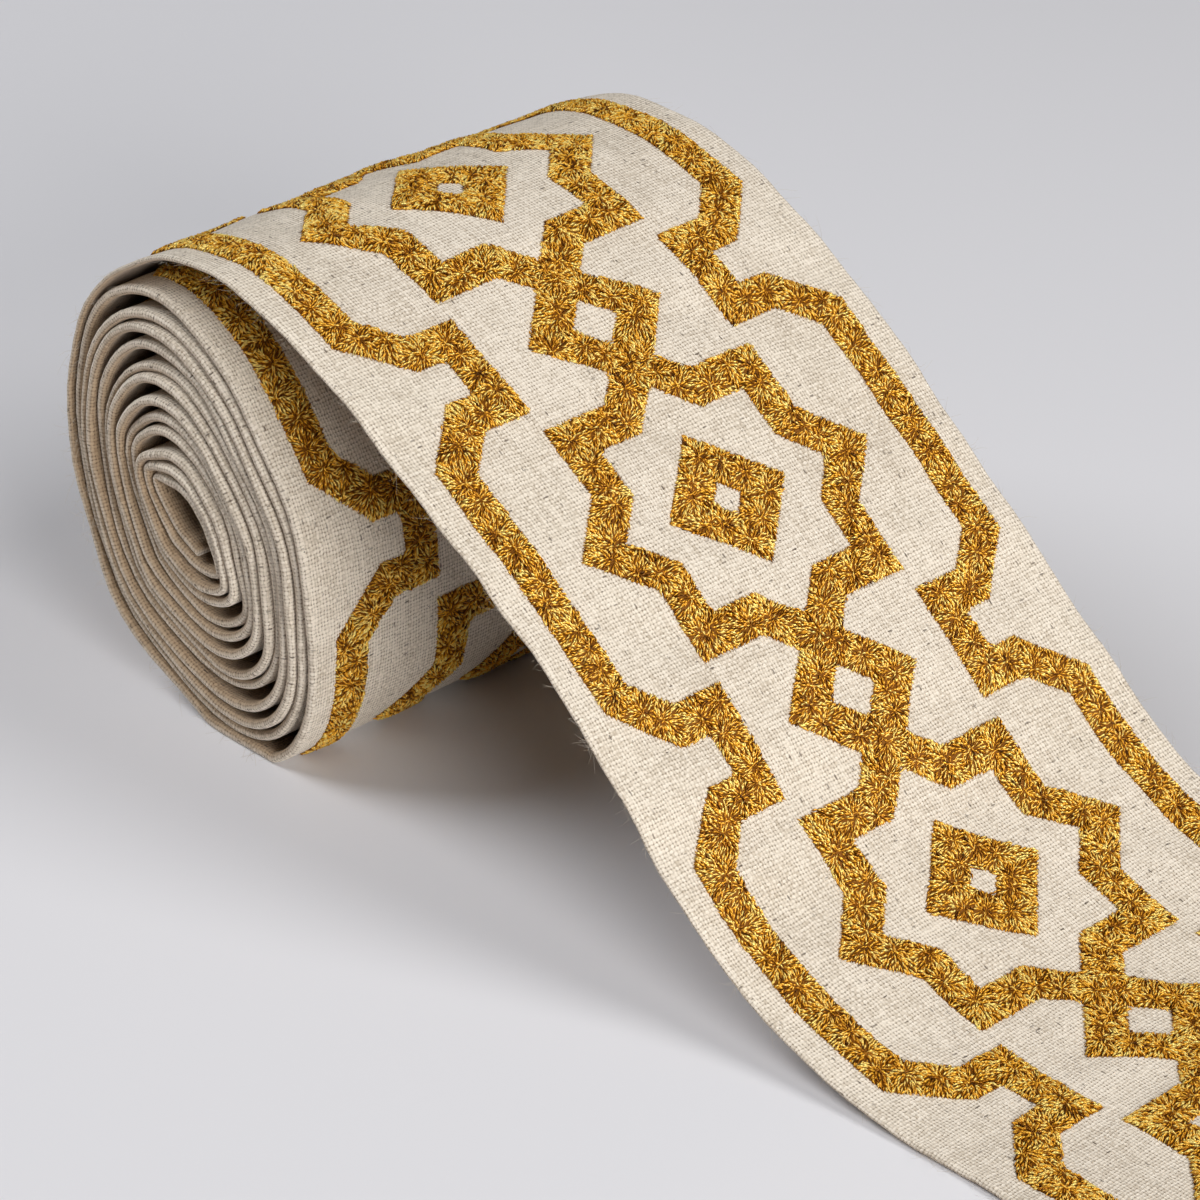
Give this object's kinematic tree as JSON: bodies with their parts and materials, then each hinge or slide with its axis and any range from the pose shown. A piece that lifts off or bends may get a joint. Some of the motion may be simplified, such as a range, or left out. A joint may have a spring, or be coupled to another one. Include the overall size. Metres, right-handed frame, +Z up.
{
  "type": "embroidered tape trim",
  "caption": "Wide embroidered linen tape wound into an oval roll, its loose end passing over the roll and down to lie flat on the surface.",
  "frame": {"origin": "on the surface, under the middle of the tape's bounding box", "axes": "+X runs along the loose end away from the roll, +Y along the roll's axis, +Z up"},
  "size_m": [0.2902, 0.1152, 0.0978],
  "materials": {
    "linen": "plain-woven natural linen, matt",
    "embroidery": "gold silky embroidery thread, satin"
  },
  "bodies": {
    "root": {"tape": "linen"}
  },
  "joints": []
}
